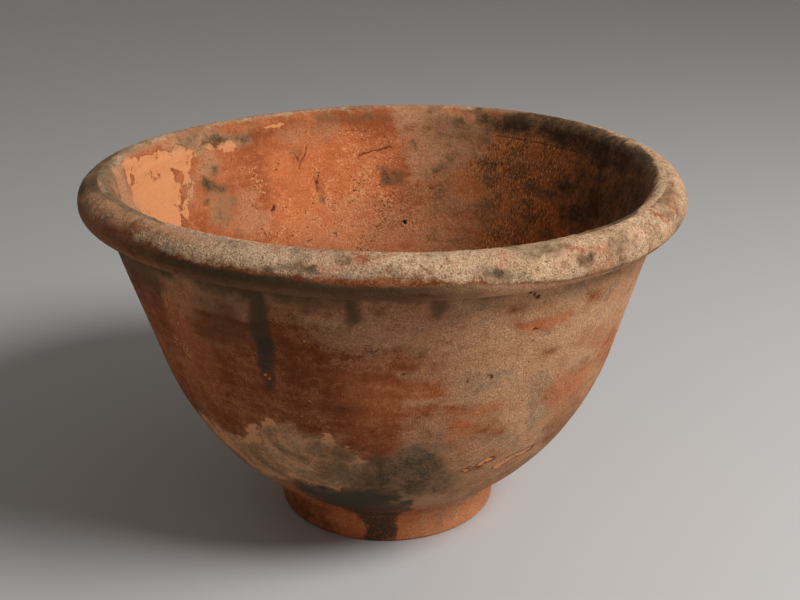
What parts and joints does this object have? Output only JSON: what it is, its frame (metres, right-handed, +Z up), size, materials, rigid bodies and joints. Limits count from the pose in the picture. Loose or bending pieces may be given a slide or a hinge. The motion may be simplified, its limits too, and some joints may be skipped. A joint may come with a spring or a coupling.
{
  "type": "footed pottery bowl",
  "caption": "Deep red-slipped pottery bowl with a thick rolled rim, a flaring wall curving in to a narrow foot ring, worn and soil-stained from burial, for serving or mixing food.",
  "frame": {"origin": "middle of the foot ring's resting face, on the bowl's axis", "axes": "+Z up along the axis of turning, +Y towards the side of the wall with the drilled mending hole, +X to the right seen from the front"},
  "size_m": [0.25, 0.25, 0.1538],
  "materials": {
    "wall_slip": "worn matt red slip with soil stains",
    "rim_slip": "worn red slip under pale buff soil crust",
    "foot_slip": "worn matt orange-red slip",
    "luting_clay": "bare matt fired clay"
  },
  "bodies": {
    "root": {"bowl_wall": "wall_slip", "rim_roll": "rim_slip", "rim_luting": "luting_clay", "foot_ring": "foot_slip", "foot_luting": "luting_clay"}
  },
  "joints": []
}
